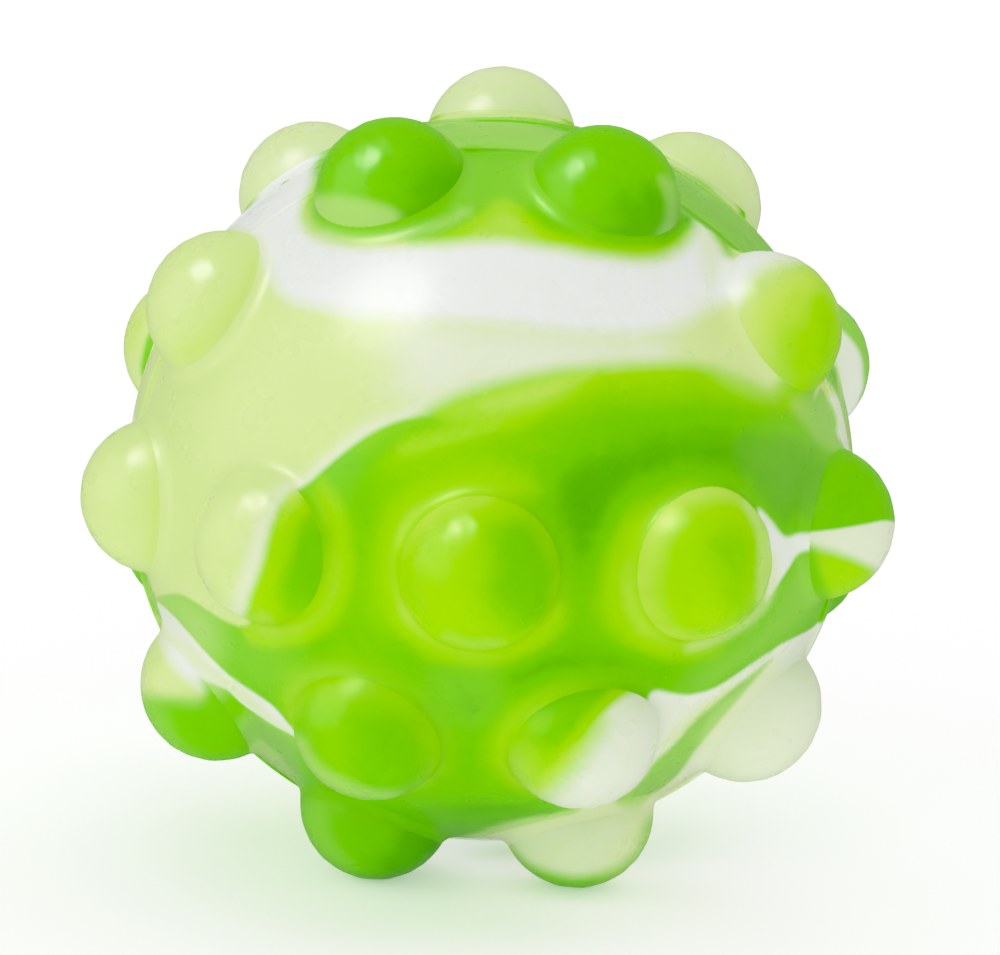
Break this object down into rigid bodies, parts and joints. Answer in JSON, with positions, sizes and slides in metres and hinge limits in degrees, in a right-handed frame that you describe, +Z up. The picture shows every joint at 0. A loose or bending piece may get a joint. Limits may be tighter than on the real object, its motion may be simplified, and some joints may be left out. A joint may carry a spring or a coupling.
{
  "type": "bubble popping stress ball",
  "caption": "Hollow marbled silicone ball made of bonded halves, with rings of round bubbles that pop inwards when pressed; a squeeze and fidget toy.",
  "frame": {"origin": "on the floor plane, under the ball's centre, where the ball stands on three bubbles", "axes": "+Z up, -Y out of the front, towards the half with the bare panel at its top (its pole points 4 degrees below level), +X to the right seen from the front"},
  "size_m": [0.0662, 0.0698, 0.0661],
  "materials": {
    "silicone_green": "satin silicone, mid green of the marbling",
    "silicone_lime": "satin silicone, yellow-green of the marbling",
    "silicone_pale_lime": "satin silicone, pale lime of the marbling",
    "silicone_white": "satin silicone, white of the marbling",
    "seam_adhesive": "cured silicone adhesive, satin"
  },
  "bodies": {
    "shell": {"front_half_shell": "silicone_green", "rear_half_shell": "silicone_lime", "seam_bond": "seam_adhesive"},
    "front_crown_bubble": {"front_crown_bubble": "silicone_lime"},
    "rear_crown_bubble": {"rear_crown_bubble": "silicone_green"},
    "front_inner_bubble_1": {"front_inner_bubble_1": "silicone_pale_lime"},
    "front_inner_bubble_2": {"front_inner_bubble_2": "silicone_green"},
    "front_inner_bubble_3": {"front_inner_bubble_3": "silicone_lime"},
    "front_inner_bubble_4": {"front_inner_bubble_4": "silicone_lime"},
    "front_rim_bubble_01": {"front_rim_bubble_01": "silicone_green"},
    "front_rim_bubble_02": {"front_rim_bubble_02": "silicone_pale_lime"},
    "front_rim_bubble_03": {"front_rim_bubble_03": "silicone_white"},
    "front_rim_bubble_04": {"front_rim_bubble_04": "silicone_green"},
    "front_rim_bubble_05": {"front_rim_bubble_05": "silicone_lime"},
    "front_rim_bubble_06": {"front_rim_bubble_06": "silicone_green"},
    "front_rim_bubble_07": {"front_rim_bubble_07": "silicone_green"},
    "front_rim_bubble_08": {"front_rim_bubble_08": "silicone_pale_lime"},
    "front_rim_bubble_09": {"front_rim_bubble_09": "silicone_pale_lime"},
    "front_rim_bubble_10": {"front_rim_bubble_10": "silicone_pale_lime"},
    "rear_inner_bubble_1": {"rear_inner_bubble_1": "silicone_lime"},
    "rear_inner_bubble_2": {"rear_inner_bubble_2": "silicone_green"},
    "rear_inner_bubble_3": {"rear_inner_bubble_3": "silicone_white"},
    "rear_inner_bubble_4": {"rear_inner_bubble_4": "silicone_pale_lime"},
    "rear_rim_bubble_01": {"rear_rim_bubble_01": "silicone_pale_lime"},
    "rear_rim_bubble_02": {"rear_rim_bubble_02": "silicone_green"},
    "rear_rim_bubble_03": {"rear_rim_bubble_03": "silicone_green"},
    "rear_rim_bubble_04": {"rear_rim_bubble_04": "silicone_white"},
    "rear_rim_bubble_05": {"rear_rim_bubble_05": "silicone_pale_lime"},
    "rear_rim_bubble_06": {"rear_rim_bubble_06": "silicone_pale_lime"},
    "rear_rim_bubble_07": {"rear_rim_bubble_07": "silicone_pale_lime"},
    "rear_rim_bubble_08": {"rear_rim_bubble_08": "silicone_lime"},
    "rear_rim_bubble_09": {"rear_rim_bubble_09": "silicone_green"},
    "rear_rim_bubble_10": {"rear_rim_bubble_10": "silicone_green"}
  },
  "joints": [
    {"name": "front_crown_bubble_pop", "type": "slide", "parent": "shell", "child": "front_crown_bubble", "axis": [0, 0.9979, 0.065], "range_m": [0, 0.01]},
    {"name": "rear_crown_bubble_pop", "type": "slide", "parent": "shell", "child": "rear_crown_bubble", "axis": [0, -0.9979, -0.065], "range_m": [0, 0.01]},
    {"name": "front_inner_bubble_1_pop", "type": "slide", "parent": "shell", "child": "front_inner_bubble_1", "axis": [0.5721, 0.8184, 0.0533], "range_m": [0, 0.01]},
    {"name": "front_inner_bubble_2_pop", "type": "slide", "parent": "shell", "child": "front_inner_bubble_2", "axis": [0.2861, 0.7862, 0.5477], "range_m": [0, 0.01]},
    {"name": "front_inner_bubble_3_pop", "type": "slide", "parent": "shell", "child": "front_inner_bubble_3", "axis": [-0.2861, 0.7862, 0.5477], "range_m": [0, 0.01]},
    {"name": "front_inner_bubble_4_pop", "type": "slide", "parent": "shell", "child": "front_inner_bubble_4", "axis": [-0.5721, 0.8184, 0.0533], "range_m": [0, 0.01]},
    {"name": "front_rim_bubble_01_pop", "type": "slide", "parent": "shell", "child": "front_rim_bubble_01", "axis": [0.2893, 0.2933, 0.9112], "range_m": [0, 0.01]},
    {"name": "front_rim_bubble_02_pop", "type": "slide", "parent": "shell", "child": "front_rim_bubble_02", "axis": [-0.2893, 0.2933, 0.9112], "range_m": [0, 0.01]},
    {"name": "front_rim_bubble_03_pop", "type": "slide", "parent": "shell", "child": "front_rim_bubble_03", "axis": [-0.7573, 0.3154, 0.5719], "range_m": [0, 0.01]},
    {"name": "front_rim_bubble_04_pop", "type": "slide", "parent": "shell", "child": "front_rim_bubble_04", "axis": [-0.9361, 0.3511, 0.0229], "range_m": [0, 0.01]},
    {"name": "front_rim_bubble_05_pop", "type": "slide", "parent": "shell", "child": "front_rim_bubble_05", "axis": [-0.7573, 0.3868, -0.5262], "range_m": [0, 0.01]},
    {"name": "front_rim_bubble_06_pop", "type": "slide", "parent": "shell", "child": "front_rim_bubble_06", "axis": [-0.2893, 0.4089, -0.8655], "range_m": [0, 0.01]},
    {"name": "front_rim_bubble_07_pop", "type": "slide", "parent": "shell", "child": "front_rim_bubble_07", "axis": [0.2893, 0.4089, -0.8655], "range_m": [0, 0.01]},
    {"name": "front_rim_bubble_08_pop", "type": "slide", "parent": "shell", "child": "front_rim_bubble_08", "axis": [0.7573, 0.3868, -0.5262], "range_m": [0, 0.01]},
    {"name": "front_rim_bubble_09_pop", "type": "slide", "parent": "shell", "child": "front_rim_bubble_09", "axis": [0.9361, 0.3511, 0.0229], "range_m": [0, 0.01]},
    {"name": "front_rim_bubble_10_pop", "type": "slide", "parent": "shell", "child": "front_rim_bubble_10", "axis": [0.7573, 0.3154, 0.5719], "range_m": [0, 0.01]},
    {"name": "rear_inner_bubble_1_pop", "type": "slide", "parent": "shell", "child": "rear_inner_bubble_1", "axis": [0.5423, -0.8303, 0.1288], "range_m": [0, 0.01]},
    {"name": "rear_inner_bubble_2_pop", "type": "slide", "parent": "shell", "child": "rear_inner_bubble_2", "axis": [0.1131, -0.8549, 0.5064], "range_m": [0, 0.01]},
    {"name": "rear_inner_bubble_3_pop", "type": "slide", "parent": "shell", "child": "rear_inner_bubble_3", "axis": [-0.4292, -0.843, 0.3243], "range_m": [0, 0.01]},
    {"name": "rear_inner_bubble_4_pop", "type": "slide", "parent": "shell", "child": "rear_inner_bubble_4", "axis": [-0.5423, -0.8066, -0.2354], "range_m": [0, 0.01]},
    {"name": "rear_rim_bubble_01_pop", "type": "slide", "parent": "shell", "child": "rear_rim_bubble_01", "axis": [-0.0098, -0.4119, 0.9112], "range_m": [0, 0.01]},
    {"name": "rear_rim_bubble_02_pop", "type": "slide", "parent": "shell", "child": "rear_rim_bubble_02", "axis": [-0.5581, -0.3999, 0.727], "range_m": [0, 0.01]},
    {"name": "rear_rim_bubble_03_pop", "type": "slide", "parent": "shell", "child": "rear_rim_bubble_03", "axis": [-0.8932, -0.3693, 0.2565], "range_m": [0, 0.01]},
    {"name": "rear_rim_bubble_04_pop", "type": "slide", "parent": "shell", "child": "rear_rim_bubble_04", "axis": [-0.8872, -0.3317, -0.3208], "range_m": [0, 0.01]},
    {"name": "rear_rim_bubble_05_pop", "type": "slide", "parent": "shell", "child": "rear_rim_bubble_05", "axis": [-0.5422, -0.3015, -0.7843], "range_m": [0, 0.01]},
    {"name": "rear_rim_bubble_06_pop", "type": "slide", "parent": "shell", "child": "rear_rim_bubble_06", "axis": [0.0098, -0.2903, -0.9569], "range_m": [0, 0.01]},
    {"name": "rear_rim_bubble_07_pop", "type": "slide", "parent": "shell", "child": "rear_rim_bubble_07", "axis": [0.5581, -0.3023, -0.7728], "range_m": [0, 0.01]},
    {"name": "rear_rim_bubble_08_pop", "type": "slide", "parent": "shell", "child": "rear_rim_bubble_08", "axis": [0.8932, -0.3329, -0.3022], "range_m": [0, 0.01]},
    {"name": "rear_rim_bubble_09_pop", "type": "slide", "parent": "shell", "child": "rear_rim_bubble_09", "axis": [0.8872, -0.3705, 0.2751], "range_m": [0, 0.01]},
    {"name": "rear_rim_bubble_10_pop", "type": "slide", "parent": "shell", "child": "rear_rim_bubble_10", "axis": [0.5422, -0.4007, 0.7385], "range_m": [0, 0.01]}
  ]
}
